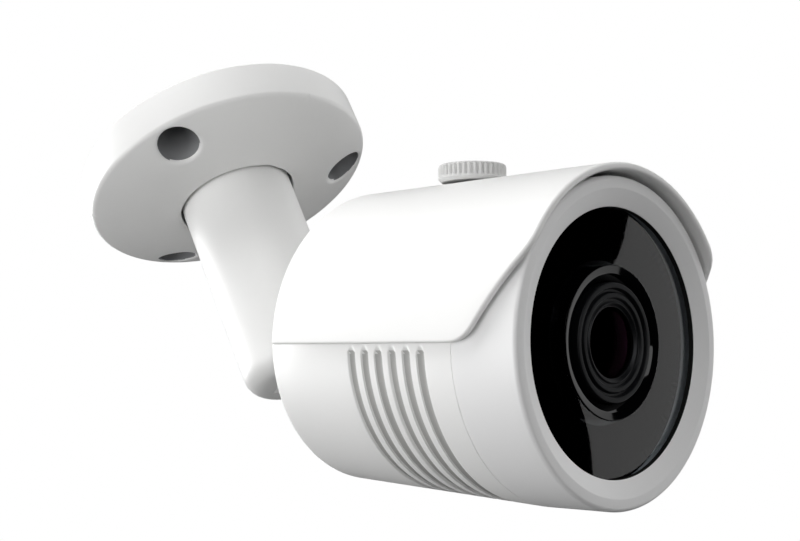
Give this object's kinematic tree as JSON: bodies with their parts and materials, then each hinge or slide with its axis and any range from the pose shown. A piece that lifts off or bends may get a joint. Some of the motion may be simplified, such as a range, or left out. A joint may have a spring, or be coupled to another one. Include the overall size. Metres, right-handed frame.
{
  "type": "security camera",
  "caption": "Bullet security camera with a sunshield and a dark front window, on a ceiling bracket that pans, tilts and rolls.",
  "frame": {"origin": "centre of the ceiling plate's mounting face, on the pan axis", "axes": "+Z out of the mounting face into the ceiling, along the pan axis; +X horizontally to the side the camera looks to at pan 0; +Y to the camera's left"},
  "size_m": [0.1459, 0.0764, 0.1414],
  "materials": {
    "white_paint": "satin white powder coat",
    "ring_paint": "satin white powder coat on the front ring",
    "shield_paint": "satin white powder coat on the shield",
    "knob_plastic": "fine-textured light grey moulded plastic",
    "window_glass": "dark polished window",
    "bezel_gloss": "polished black plastic",
    "seal_rubber": "matt black rubber",
    "foam": "matt black foam",
    "lens_metal": "black anodised, fine turned",
    "lens_glass": "coated optical glass",
    "steel": "zinc plated steel",
    "nylon": "natural nylon",
    "black_plastic": "black moulded plastic",
    "circuit_board": "solder-masked glass-epoxy board",
    "black_board": "black solder-masked board",
    "chip": "black epoxy package",
    "lamp_resin": "tinted clear resin",
    "aluminium": "die-cast aluminium"
  },
  "bodies": {
    "mount": {"mounting_plate": "white_paint", "back_gasket": "seal_rubber", "friction_washer": "nylon", "retaining_ring": "steel", "ring_screws": "steel", "pan_lock_screw": "steel"},
    "arm": {"arm": "white_paint", "tilt_bolt": "steel"},
    "knuckle": {"knuckle": "white_paint", "swivel_washer": "nylon", "spigot_clip": "steel"},
    "camera": {"housing": "white_paint", "rear_cap": "white_paint", "cap_screws": "steel", "rear_seal": "seal_rubber", "cable_gland": "black_plastic", "gland_nut": "black_plastic", "front_ring": "ring_paint", "front_seal": "seal_rubber", "front_window": "window_glass", "lens_bezel": "bezel_gloss", "window_seal": "seal_rubber", "window_retainer": "black_plastic", "shield_pad": "seal_rubber", "lens_barrel": "lens_metal", "front_lens": "lens_glass", "rear_lens": "lens_glass", "lens_lock_ring": "lens_metal", "lens_light_shield": "foam", "lamp_board": "black_board", "infrared_lamps": "lamp_resin", "light_sensor": "lamp_resin", "lamp_posts": "aluminium", "board_carrier": "aluminium", "board_posts": "aluminium", "rear_posts": "aluminium", "board_screws": "steel", "lens_holder": "black_plastic", "filter_coil": "aluminium", "image_board": "circuit_board", "image_chip": "chip", "main_board": "circuit_board", "processor": "chip", "heat_pad": "nylon", "cable_socket": "nylon", "capacitors": "chip"},
    "sunshield": {"sunshield": "shield_paint"},
    "knob": {"knob": "knob_plastic"},
    "filter": {"filter_shuttle": "black_plastic", "filter_glasses": "lens_glass"}
  },
  "joints": [
    {"name": "pan", "type": "hinge", "parent": "mount", "child": "arm", "pos_m": [0, 0, -0.061], "axis": [0, 0, 1], "range_deg": [-180, 180]},
    {"name": "tilt", "type": "hinge", "parent": "arm", "child": "knuckle", "pos_m": [0, 0, -0.061], "axis": [0, 1, 0], "range_deg": [-30.8, 59.2]},
    {"name": "roll", "type": "hinge", "parent": "knuckle", "child": "camera", "pos_m": [0.01984, 0, -0.07283], "axis": [0.859, 0, -0.512], "range_deg": [-180, 180]},
    {"name": "shield_slide", "type": "slide", "parent": "camera", "child": "sunshield", "axis": [0.859, 0, -0.512], "range_m": [-0.003, 0.003]},
    {"name": "knob_turn", "type": "hinge", "parent": "camera", "child": "knob", "pos_m": [0.05343, 0, -0.09285], "axis": [0.512, 0, 0.859], "continuous": true},
    {"name": "filter_slide", "type": "slide", "parent": "camera", "child": "filter", "axis": [0, 1, 0], "range_m": [-0.0064, 0]}
  ]
}
